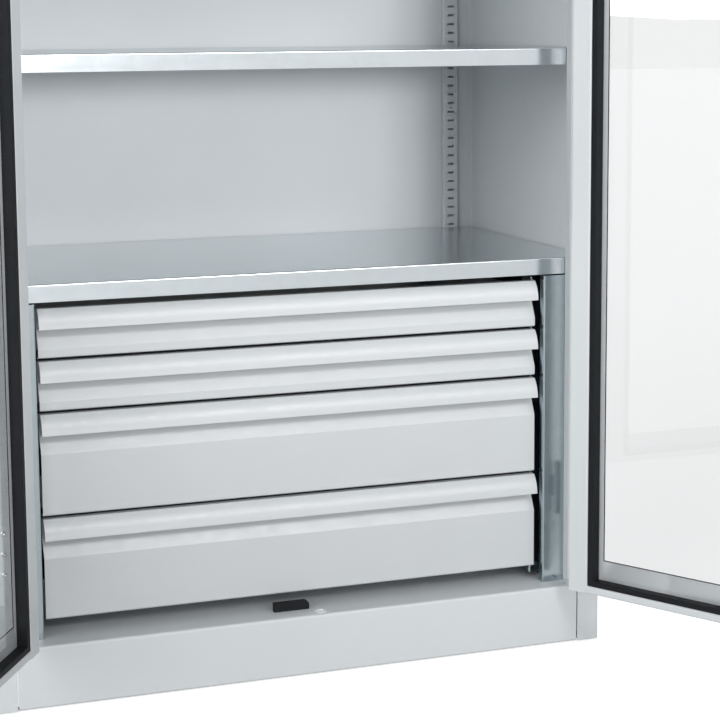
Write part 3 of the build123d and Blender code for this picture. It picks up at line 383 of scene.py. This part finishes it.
def plated(name, colour, roughness, marks_scale, finishes):
    """Plated or turned steel with fine drawing marks."""
    material, shader = new_material(name, colour, roughness, metallic=1.0)
    space = object_space(material)
    drawn = object_space(material, stretch=(1.0, 0.05, 1.0))
    marks = noise(material, drawn, scale=marks_scale, detail=3.0)
    stain = noise(material, space, scale=30.0, detail=3.0)
    edge_normal, edge = soft_edges(material, finishes.edge_radius)
    patches = spread_noise(material, stain)
    # The lighter last shade paints a highlight along the edges
    colour_sheet(material, shader, colour, patches, edge, shades=(0.94, 1.05, 1.2), edge_highlight_share=0.4)
    gloss = spread_noise(material, marks, roughness - 0.06, roughness + 0.08)
    join(material, gloss, shader.inputs["Roughness"])
    roughen(material, shader, marks, distance=0.00001, strength=0.3, normal=edge_normal)
    return material


def moulded(name, colour, roughness, shine, finishes):
    """Moulded plastic with a fine eroded grain and a painted highlight along the edges."""
    material, shader = new_material(name, colour, roughness)
    shader.inputs["Specular IOR Level"].default_value = shine
    space = object_space(material)
    grain = noise(material, space, scale=1800.0, detail=2.0)
    flow = noise(material, space, scale=22.0, detail=3.0)
    edge_normal, edge = soft_edges(material, finishes.edge_radius)
    patches = spread_noise(material, flow)
    # The much lighter last shade paints a highlight along the edges
    colour_sheet(material, shader, colour, patches, edge, shades=(0.9, 1.12, 1.8), edge_highlight_share=0.3)
    gloss = spread_noise(material, flow, roughness - 0.05, roughness + 0.06)
    join(material, gloss, shader.inputs["Roughness"])
    roughen(material, shader, grain, distance=0.00002, strength=0.6, normal=edge_normal)
    return material


def clear_sheet(name, colour):
    """Clear pane with faint wiping marks, which lets the lamps' light through."""
    material, shader = new_material(name, colour, roughness=0.02)
    shader.inputs["Transmission Weight"].default_value = 1.0
    shader.inputs["IOR"].default_value = 1.49
    wiped = noise(material, object_space(material, stretch=(1.0, 1.0, 0.2)), scale=14.0, detail=4.0)
    gloss = spread(material, wiped, low=0.0, high=0.03, start=0.35, end=0.7)
    join(material, gloss, shader.inputs["Roughness"])
    path = add_node(material, "ShaderNodeLightPath")
    through = add_node(material, "ShaderNodeBsdfTransparent")
    through.inputs["Color"].default_value = (*WHITE, 1)
    mix = add_node(material, "ShaderNodeMixShader")
    lighting = add_node(material, "ShaderNodeMath", operation="MAXIMUM")
    join(material, path.outputs["Is Shadow Ray"], lighting.inputs[0])
    join(material, path.outputs["Is Diffuse Ray"], lighting.inputs[1])
    join(material, lighting.outputs[0], mix.inputs[0])
    join(material, shader.outputs["BSDF"], mix.inputs[1])
    join(material, through.outputs["BSDF"], mix.inputs[2])
    join(material, mix.outputs["Shader"], material.node_tree.nodes["Material Output"].inputs["Surface"])
    return material


def dress(slot, material):
    """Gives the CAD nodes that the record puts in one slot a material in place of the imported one."""
    names = [part["node"] for part in FRAME["record"]["subparts"] if part["material_slot"] == slot]
    if not names:
        raise RuntimeError(f"no CAD node has the slot {slot}")
    for name in names:
        own_slots = NODES[name].material_slots
        if not own_slots:
            raise RuntimeError(f"{name} has no material slot")
        for own in own_slots:
            own.material = material


# Fasteners and beads

def add_object(name, data):
    """A new object in the scene, with its mesh, lamp or camera."""
    piece = bpy.data.objects.new(name, data)
    bpy.context.scene.collection.objects.link(piece)
    return piece


def finish_mesh(build, name):
    """A mesh from a build whose faces all point outwards."""
    bmesh.ops.recalc_face_normals(build, faces=build.faces)
    mesh = bpy.data.meshes.new(name)
    build.to_mesh(mesh)
    build.free()
    mesh.update()
    return mesh


def turned_mesh(name, profile, segments, socket_ring=None):
    """A closed smooth solid, turned round Z from a half section. From the ring with the number
    socket_ring on, its rings are hexagons, for a key."""
    build = bmesh.new()
    sixth = math.tau / 6
    rings = []
    for number, (radius, height) in enumerate(profile):
        ring = []
        for step in range(segments):
            angle = math.tau * step / segments
            reach = radius
            if socket_ring is not None and number >= socket_ring:
                reach = radius / math.cos((angle + sixth / 2) % sixth - sixth / 2)
            ring.append(build.verts.new((reach * math.cos(angle), reach * math.sin(angle), height)))
        rings.append(ring)
    for lower, upper in zip(rings, rings[1:]):
        for step in range(segments):
            after = (step + 1) % segments
            build.faces.new((lower[step], lower[after], upper[after], upper[step]))
    build.faces.new(rings[-1])
    build.faces.new(list(reversed(rings[0])))
    for face in build.faces:
        face.smooth = True
    return finish_mesh(build, name)


def fastener_tree():
    """A tree that puts one fastener on every point, facing along the point's own direction."""
    tree = bpy.data.node_groups.new(FASTENER_TREE, "GeometryNodeTree")
    for name, kind in (
        ("Points", "NodeSocketGeometry"),
        ("Fastener", "NodeSocketObject"),
        ("Diameter", "NodeSocketFloat"),
        ("Height", "NodeSocketFloat"),
        ("Finish", "NodeSocketMaterial"),
    ):
        tree.interface.new_socket(name, in_out="INPUT", socket_type=kind)
    tree.interface.new_socket("Geometry", in_out="OUTPUT", socket_type="NodeSocketGeometry")
    nodes = tree.nodes
    link = tree.links.new
    given = nodes.new("NodeGroupInput")
    result = nodes.new("NodeGroupOutput")
    direction = nodes.new("GeometryNodeInputNamedAttribute")
    direction.data_type = "FLOAT_VECTOR"
    direction.inputs["Name"].default_value = "facing"
    turn = nodes.new("FunctionNodeAlignRotationToVector")
    turn.axis = "Z"
    link(direction.outputs["Attribute"], turn.inputs["Vector"])
    spin = nodes.new("FunctionNodeRandomValue")
    spin.data_type = "FLOAT"
    spin.inputs["Min"].default_value = 0.0
    spin.inputs["Max"].default_value = math.tau
    spin.inputs["Seed"].default_value = FASTENER_SEED
    own = nodes.new("FunctionNodeAxisAngleToRotation")
    own.inputs["Axis"].default_value = (0, 0, 1)
    link(spin.outputs[1], own.inputs["Angle"])
    whole = nodes.new("FunctionNodeRotateRotation")
    whole.rotation_space = "LOCAL"
    link(turn.outputs["Rotation"], whole.inputs["Rotation"])
    link(own.outputs["Rotation"], whole.inputs["Rotate By"])
    shape = nodes.new("GeometryNodeObjectInfo")
    link(given.outputs["Fastener"], shape.inputs["Object"])
    scale = nodes.new("ShaderNodeCombineXYZ")
    link(given.outputs["Diameter"], scale.inputs["X"])
    link(given.outputs["Diameter"], scale.inputs["Y"])
    link(given.outputs["Height"], scale.inputs["Z"])
    place = nodes.new("GeometryNodeInstanceOnPoints")
    link(given.outputs["Points"], place.inputs["Points"])
    link(shape.outputs["Geometry"], place.inputs["Instance"])
    link(whole.outputs["Rotation"], place.inputs["Rotation"])
    link(scale.outputs["Vector"], place.inputs["Scale"])
    real = nodes.new("GeometryNodeRealizeInstances")
    link(place.outputs["Instances"], real.inputs["Geometry"])
    paint = nodes.new("GeometryNodeSetMaterial")
    link(real.outputs["Geometry"], paint.inputs["Geometry"])
    link(given.outputs["Finish"], paint.inputs["Material"])
    link(paint.outputs["Geometry"], result.inputs["Geometry"])
    return tree


def place_fasteners(name, body, points, shape, diameter, height, material):
    """One plain mesh of like fasteners on one body. points pairs places with ways out of the sheet."""
    tree = bpy.data.node_groups.get(FASTENER_TREE) or fastener_tree()
    pattern = add_object(name + "_pattern", shape)
    cloud = bpy.data.meshes.new(name + "_points")
    cloud.from_pydata([tuple(place) for place, way in points], [], [])
    facing = cloud.attributes.new("facing", "FLOAT_VECTOR", "POINT")
    for number, (place, way) in enumerate(points):
        facing.data[number].vector = way
    holder = add_object(name + "_holder", cloud)
    modifier = holder.modifiers.new("Fasteners", "NODES")
    modifier.node_group = tree
    values = {"Fastener": pattern, "Diameter": diameter, "Height": height, "Finish": material}
    for socket in tree.interface.items_tree:
        if socket.in_out == "INPUT" and socket.name in values:
            modifier[socket.identifier] = values[socket.name]
    bpy.context.view_layer.update()
    graph = bpy.context.evaluated_depsgraph_get()
    mesh = bpy.data.meshes.new_from_object(holder.evaluated_get(graph))
    if len(mesh.polygons) < len(points):
        raise RuntimeError(f"{name}: the tree made too few faces")
    mesh.name = name
    bpy.data.objects.remove(holder)
    bpy.data.objects.remove(pattern)
    piece = add_object(name, mesh)
    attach(piece, body)


def turned(place, side, angle):
    """A place on a door, turned round its hinge pin. side is 1 on the right and -1 on the left."""
    turn = Matrix.Rotation(angle * side, 4, "Z")
    pin = Vector((HINGE_PIN[0] * side, HINGE_PIN[1], 0))
    return turn @ (Vector(place) - pin) + pin


def opened(place, side):
    """A place on the shut door, moved to where the door is at rest."""
    return turned(place, side, DOOR_TURN)


def closed(place, side):
    """A place on the door at rest, moved back to where the shut door holds it."""
    return turned(place, side, -DOOR_TURN)


def opened_way(way, side):
    """A direction on the shut door, turned as the door at rest is."""
    return Matrix.Rotation(DOOR_TURN * side, 3, "Z") @ Vector(way)


def shut_box(node, side):
    """The lowest and highest corner of a door's node with the door shut."""
    corners = [closed(vertex.co, side) for vertex in NODES[node].data.vertices]
    return (
        Vector(min(corner[axis] for corner in corners) for axis in range(3)),
        Vector(max(corner[axis] for corner in corners) for axis in range(3)),
    )


def hinge_heights():
    """The middles of the hinges, from the heights of the right door's leaves."""
    corners = NODES["hinge_door_leaves_right"].data.vertices
    heights = sorted({round(corner.co.z, 4) for corner in corners})
    groups = [[heights[0]]]
    for z in heights[1:]:
        if z - groups[-1][-1] > HINGES_APART:
            groups.append([])
        groups[-1].append(z)
    return [(group[0] + group[-1]) / 2 for group in groups]


def frame_mesh(name, low, high, section):
    """A mitred rectangular frame. section is a ring of pairs: the way in from the edge, and y."""
    build = bmesh.new()
    corners = (
        (low.x, 1, low.z, 1),
        (high.x, -1, low.z, 1),
        (high.x, -1, high.z, -1),
        (low.x, 1, high.z, -1),
    )
    rings = [
        [build.verts.new((x + x_way * inward, y, z + z_way * inward)) for inward, y in section]
        for x, x_way, z, z_way in corners
    ]
    for number, ring in enumerate(rings):
        after = rings[(number + 1) % len(rings)]
        for step in range(len(ring)):
            following = (step + 1) % len(ring)
            build.faces.new((ring[step], ring[following], after[following], after[step]))
    return finish_mesh(build, name)


# Studio

def background_rays(tree, mirrored=1.0, through=1.0):
    """1 for camera rays, and the given shares for rays that are mirrored or go through the panes."""
    path = tree.nodes.new("ShaderNodeLightPath")
    seen = path.outputs["Is Camera Ray"]
    for name, share in (("Is Glossy Ray", mirrored), ("Is Transmission Ray", through)):
        part = tree.nodes.new("ShaderNodeMath")
        part.operation = "MULTIPLY"
        part.inputs[1].default_value = share
        tree.links.new(path.outputs[name], part.inputs[0])
        either = tree.nodes.new("ShaderNodeMath")
        either.operation = "MAXIMUM"
        tree.links.new(seen, either.inputs[0])
        tree.links.new(part.outputs[0], either.inputs[1])
        seen = either.outputs[0]
    return seen


def make_floor(settings):
    """A wide pale floor, which shows full white where nothing shades it."""
    reach = settings.floor_reach
    mesh = bpy.data.meshes.new("studio_floor")
    corners = [(-reach, -reach, 0), (reach, -reach, 0), (reach, reach, 0), (-reach, reach, 0)]
    mesh.from_pydata(corners, [], [(0, 1, 2, 3)])
    floor = add_object("studio_floor", mesh)
    floor.location.z = -FLOOR_GAP
    material, shader = new_material("Studio floor", settings.floor_colour, roughness=0.9)
    shader.inputs["Specular IOR Level"].default_value = 0.1
    cloud = noise(material, object_space(material), scale=1.5, detail=2.0)
    dark, light = (shade(settings.floor_colour, factor) for factor in (0.99, 1.01))
    join(material, tones(material, cloud, dark, light), shader.inputs["Base Color"])
    shader.inputs["Emission Color"].default_value = (*WHITE, 1)
    seen = background_rays(material.node_tree, settings.floor_mirrored, settings.floor_through)
    glow = add_node(material, "ShaderNodeMath", operation="MULTIPLY")
    glow.inputs[1].default_value = settings.floor_glow
    join(material, seen, glow.inputs[0])
    join(material, glow.outputs[0], shader.inputs["Emission Strength"])
    mesh.materials.append(material)


def make_sky(scene, settings):
    """Even light, stronger from behind, which the camera, metal and glass see as white."""
    world = bpy.data.worlds.new("Studio sky")
    scene.world = world
    world.use_nodes = True
    nodes = world.node_tree.nodes
    link = world.node_tree.links.new
    light = nodes["Background"]
    light.inputs["Color"].default_value = (*WHITE, 1)
    seen = background_rays(world.node_tree)
    direction = nodes.new("ShaderNodeTexCoord")
    parts = nodes.new("ShaderNodeSeparateXYZ")
    link(direction.outputs["Generated"], parts.inputs["Vector"])
    front = nodes.new("ShaderNodeMapRange")
    front.inputs["From Min"].default_value, front.inputs["From Max"].default_value = SKY_DIRECTIONS
    front.inputs["To Min"].default_value = settings.sky_front
    front.inputs["To Max"].default_value = settings.sky_back
    link(parts.outputs["Y"], front.inputs["Value"])
    strength = nodes.new("ShaderNodeMapRange")
    strength.inputs["To Max"].default_value = 1.0
    link(front.outputs["Result"], strength.inputs["To Min"])
    link(seen, strength.inputs["Value"])
    link(strength.outputs["Result"], light.inputs["Strength"])


def make_sun(name, side, height, softness, strength):
    """Even light from one direction, in degrees: side from straight ahead towards the right, height
    above the floor, and softness, the width of the lamp as it is seen from the cabinet."""
    lamp = bpy.data.lights.new(name, "SUN")
    lamp.angle = math.radians(softness)
    lamp.energy = strength
    holder = add_object(name, lamp)
    holder.rotation_euler = (math.radians(90 - height), 0, math.radians(side))


def make_beam(power):
    """A soft beam that fades out evenly from its middle, and that nothing mirrors."""
    lamp = bpy.data.lights.new("Beam", "SPOT")
    lamp.energy = power
    lamp.spot_size = math.radians(BEAM_ANGLE)
    lamp.spot_blend = 1.0
    lamp.shadow_soft_size = BEAM_LAMP_RADIUS
    holder = add_object("Beam", lamp)
    holder.location = BEAM_PLACE
    way = Vector(BEAM_TARGET) - Vector(BEAM_PLACE)
    holder.rotation_euler = way.to_track_quat("-Z", "Y").to_euler()
    holder.visible_glossy = False


def make_camera(scene, lens):
    """The camera stands at the left at about half the cabinet's height, turned right and a bit down."""
    yaw = math.radians(CAMERA_YAW)
    pitch = math.radians(CAMERA_PITCH)
    roll = math.radians(CAMERA_ROLL)
    ahead = Vector((math.sin(yaw) * math.cos(pitch), math.cos(yaw) * math.cos(pitch), -math.sin(pitch)))
    level = Vector((math.cos(yaw), -math.sin(yaw), 0))
    upward = level.cross(ahead)
    right = level * math.cos(roll) + upward * math.sin(roll)
    top = upward * math.cos(roll) - level * math.sin(roll)
    data = bpy.data.cameras.new("Camera")
    data.lens = lens
    data.shift_y = CAMERA_SHIFT
    camera = add_object("Camera", data)
    axes = Matrix((right, top, -ahead)).transposed().to_4x4()
    camera.matrix_world = Matrix.Translation(CAMERA_PLACE) @ axes
    scene.camera = camera


# Operators

class CABINET_OT_studio(bpy.types.Operator):
    """Floor, weak even light, four wide lamps, a soft beam and the camera"""

    bl_idname = "cabinet.studio"
    bl_label = "Studio"

    def execute(self, context):
        settings = context.scene.cabinet_studio
        make_floor(settings)
        make_sky(context.scene, settings)
        make_sun("Front light", side=1.0, height=4.0, softness=8.0, strength=settings.front_light)
        make_beam(settings.beam_power)
        make_sun("Side light", side=-60.0, height=15.0, softness=50.0, strength=settings.side_light)
        make_sun("Key light", side=18.0, height=31.0, softness=14.0, strength=settings.key_light)
        make_sun("Rear light", side=150.0, height=30.0, softness=60.0, strength=settings.rear_light)
        make_camera(context.scene, settings.lens)
        context.scene.view_settings.view_transform = "Standard"
        return {"FINISHED"}


class CABINET_OT_paint_sheets(bpy.types.Operator):
    """Powder coat on the body with its rear rails, the doors, the hinge leaves and the drawers"""

    bl_idname = "cabinet.paint_sheets"
    bl_label = "Paint Sheets"

    def execute(self, context):
        finishes = context.scene.cabinet_finishes
        # One powder coat in a lighter copy for the body, as painted light, and a darker copy for the drawers, as
        # painted shade
        for slot, name, colour, roughness, shine in (
            ("body_paint", "Body powder coat", finishes.body_paint, 0.42, 0.5),
            ("drawer_paint", "Drawer powder coat", finishes.drawer_paint, 0.36, 0.6),
        ):
            dress(slot, powder_coat(name, colour, roughness, shine, finishes))
        return {"FINISHED"}


class CABINET_OT_zinc_sheets(bpy.types.Operator):
    """Galvanised shelves, front rails and drawer unit, plated runners, and bright steel parts"""

    bl_idname = "cabinet.zinc_sheets"
    bl_label = "Zinc Sheets"

    def execute(self, context):
        finishes = context.scene.cabinet_finishes
        dress("galvanised_steel", galvanised("Galvanised sheet", finishes.zinc, finishes))
        # Bluish zinc of the drawer unit, darkened further as painted shade
        dress("blued_zinc", galvanised("Blued, shade-darkened galvanised sheet", finishes.post_zinc_with_shade, finishes))
        for slot, name, colour, roughness, marks_scale in (
            ("runner_steel", "Plated runner steel", finishes.plating, 0.34, 320.0),
            ("bright_steel", "Bright steel", finishes.bright_steel, 0.24, 900.0),
            ("lock_chrome", "Lock chrome", finishes.lock_chrome, 0.12, 1200.0),
        ):
            dress(slot, plated(name, colour, roughness, marks_scale, finishes))
        return {"FINISHED"}


class CABINET_OT_plastic_parts(bpy.types.Operator):
    """Black window profiles, stops, gliders and handle, white rod sockets and guides"""

    bl_idname = "cabinet.plastic_parts"
    bl_label = "Plastic Parts"

    def execute(self, context):
        finishes = context.scene.cabinet_finishes
        for slot, name, colour, roughness, shine in (
            ("black_plastic", "Black plastic", finishes.black_plastic, 0.5, 0.08),
            # The white plastic's white also stands in, as painted light, for light seen through the floor's hole
            ("white_plastic", "White plastic", finishes.white_plastic, 0.38, 0.5),
        ):
            dress(slot, moulded(name, colour, roughness, shine, finishes))
        return {"FINISHED"}


class CABINET_OT_clear_panes(bpy.types.Operator):
    """Clear panes in both doors"""

    bl_idname = "cabinet.clear_panes"
    bl_label = "Clear Panes"

    def execute(self, context):
        dress("clear_pane", clear_sheet("Clear pane", context.scene.cabinet_finishes.pane))
        return {"FINISHED"}


class CABINET_OT_pane_beads(bpy.types.Operator):
    """Thin black sealing bead round the opening of each door's outer sheet"""

    bl_idname = "cabinet.pane_beads"
    bl_label = "Pane Beads"

    def execute(self, context):
        sizes = context.scene.cabinet_fasteners
        for side, word in DOORS:
            body = f"{word}_door"
            low, high = shut_box(f"window_pane_{word}", side)
            inset = Vector((sizes.bead_from_side, 0, sizes.bead_from_end))
            front = low.y - sizes.bead_depth
            back = low.y - BEAD_PLAY
            chamfer = sizes.bead_width / 3
            section = (
                (-BEAD_GRIP, back),
                (-BEAD_GRIP, front + chamfer),
                (0, front),
                (sizes.bead_width - chamfer, front),
                (sizes.bead_width, front + chamfer),
                (sizes.bead_width, back),
            )
            mesh = frame_mesh(f"pane_bead_{word}", low + inset, high - inset, section)
            for vertex in mesh.vertices:
                vertex.co = opened(vertex.co, side)
            mesh.materials.append(bpy.data.materials["Black plastic"])
            piece = add_object(f"pane_bead_{word}", mesh)
            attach(piece, body)
        return {"FINISHED"}


class CABINET_OT_hinge_screws(bpy.types.Operator):
    """Three socket screws in each hinge leaf"""

    bl_idname = "cabinet.hinge_screws"
    bl_label = "Hinge Screws"

    def execute(self, context):
        sizes = context.scene.cabinet_fasteners
        shape = turned_mesh("screw_head", SCREW_PROFILE, SCREW_SEGMENTS, SCREW_SOCKET_RING)
        heights = [z + step for z in hinge_heights() for step in SCREW_STEPS]
        outwards = (0, -1, 0)
        leaf_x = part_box("hinge_body_leaves")[1].x - SCREW_FROM_LEAF_EDGE
        places = [(side * leaf_x, BODY_LEAF_FACE, z) for side in (-1, 1) for z in heights]
        rows = [("hinge_screws_body", "cabinet_body", [(place, outwards) for place in places])]
        door_x = HINGE_PIN[0] - SCREW_FROM_PIN
        for side, word in DOORS:
            way = opened_way(outwards, side)
            points = [(opened((side * door_x, DOOR_LEAF_FACE, z), side), way) for z in heights]
            rows.append((f"hinge_screws_{word}_door", f"{word}_door", points))
        for name, body, points in rows:
            place_fasteners(
                name, body, points, shape,
                sizes.screw_diameter, sizes.screw_height, bpy.data.materials["Bright steel"],
            )
        return {"FINISHED"}


class CABINET_OT_drawer_rivets(bpy.types.Operator):
    """Rivets inside each drawer tray that hold its runners"""

    bl_idname = "cabinet.drawer_rivets"
    bl_label = "Drawer Rivets"

    def execute(self, context):
        sizes = context.scene.cabinet_fasteners
        shape = turned_mesh("rivet_head", RIVET_PROFILE, RIVET_SEGMENTS)
        for number in DRAWER_NUMBERS:
            low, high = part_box(f"drawer_box_{number}")
            runner_low, runner_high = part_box(f"runner_inner_{number}")
            z = (runner_low.z + runner_high.z) / 2
            places = [low.y + (high.y - low.y) * share for share in RIVET_PLACES]
            points = [((low.x + TRAY_SHEET, y, z), (1, 0, 0)) for y in places]
            points += [((high.x - TRAY_SHEET, y, z), (-1, 0, 0)) for y in places]
            place_fasteners(
                f"drawer_rivets_{number}", f"drawer_{number}", points, shape,
                sizes.rivet_diameter, sizes.rivet_height, bpy.data.materials["Plated runner steel"],
            )
        return {"FINISHED"}


STEPS = (
    CABINET_OT_studio,
    CABINET_OT_paint_sheets,
    CABINET_OT_zinc_sheets,
    CABINET_OT_plastic_parts,
    CABINET_OT_clear_panes,
    CABINET_OT_pane_beads,
    CABINET_OT_hinge_screws,
    CABINET_OT_drawer_rivets,
)

SETTINGS = {
    "cabinet_finishes": CabinetFinishes,
    "cabinet_fasteners": CabinetFasteners,
    "cabinet_studio": CabinetStudio,
}


class CABINET_PT_pieces(bpy.types.Panel):
    """Lists the steps and their settings"""

    bl_label = "Cabinet"
    bl_idname = "CABINET_PT_pieces"
    bl_space_type = "VIEW_3D"
    bl_region_type = "UI"
    bl_category = "Cabinet"

    def draw(self, context):
        for step in STEPS:
            self.layout.operator(step.bl_idname)
        for name in SETTINGS:
            box = self.layout.box()
            group = getattr(context.scene, name)
            for key in group.__annotations__:
                box.prop(group, key)


def register():
    """Registers the settings, the operators and the panel, and puts the settings on every scene."""
    for group in SETTINGS.values():
        bpy.utils.register_class(group)
    for step in STEPS:
        bpy.utils.register_class(step)
    bpy.utils.register_class(CABINET_PT_pieces)
    for name, group in SETTINGS.items():
        setattr(bpy.types.Scene, name, bpy.props.PointerProperty(type=group))


def unregister():
    """Takes away what register has made."""
    for name in SETTINGS:
        delattr(bpy.types.Scene, name)
    bpy.utils.unregister_class(CABINET_PT_pieces)
    for step in reversed(STEPS):
        bpy.utils.unregister_class(step)
    for group in reversed(SETTINGS.values()):
        bpy.utils.unregister_class(group)


def main():
    """Makes every piece."""
    register()
    for step in STEPS:
        group, name = step.bl_idname.split(".")
        getattr(getattr(bpy.ops, group), name)()


if __name__ == "__main__":
    main()
